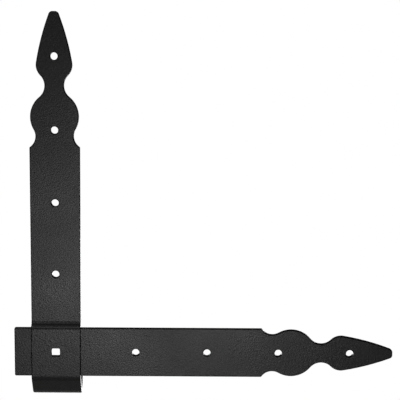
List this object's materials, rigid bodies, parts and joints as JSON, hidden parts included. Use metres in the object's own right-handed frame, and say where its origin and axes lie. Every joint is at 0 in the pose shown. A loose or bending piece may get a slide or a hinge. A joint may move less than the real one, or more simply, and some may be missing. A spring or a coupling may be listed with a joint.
{
  "type": "door hinge",
  "caption": "Corner strap hinge: a joggled eye strap bridges a flat cross strap at a right angle; spear-shaped tips, screw holes, rolled pintle eye.",
  "frame": {"origin": "centre of the rolled eye's bore, at the middle of its length", "axes": "+X along the bore and along the cross strap to its tip; +Z along the eye strap to its tip; -Y is the visible front, and the door's face is the plane y = -9 mm. Turn the part 90 degrees about Y so that the bore stands upright on a side-hung door."},
  "size_m": [0.3093, 0.0278, 0.3131],
  "materials": {
    "eye_strap_coat": "fine-textured semi-matt black powder coat on steel",
    "cross_strap_coat": "fine-textured semi-matt black powder coat on steel"
  },
  "bodies": {
    "eye_strap": {"eye_strap": "eye_strap_coat"},
    "cross_strap": {"cross_strap": "cross_strap_coat"}
  },
  "joints": [
    {"name": "cross_strap_slide", "type": "slide", "parent": "eye_strap", "child": "cross_strap", "axis": [1, 0, 0], "range_m": [0, 0.05]}
  ]
}
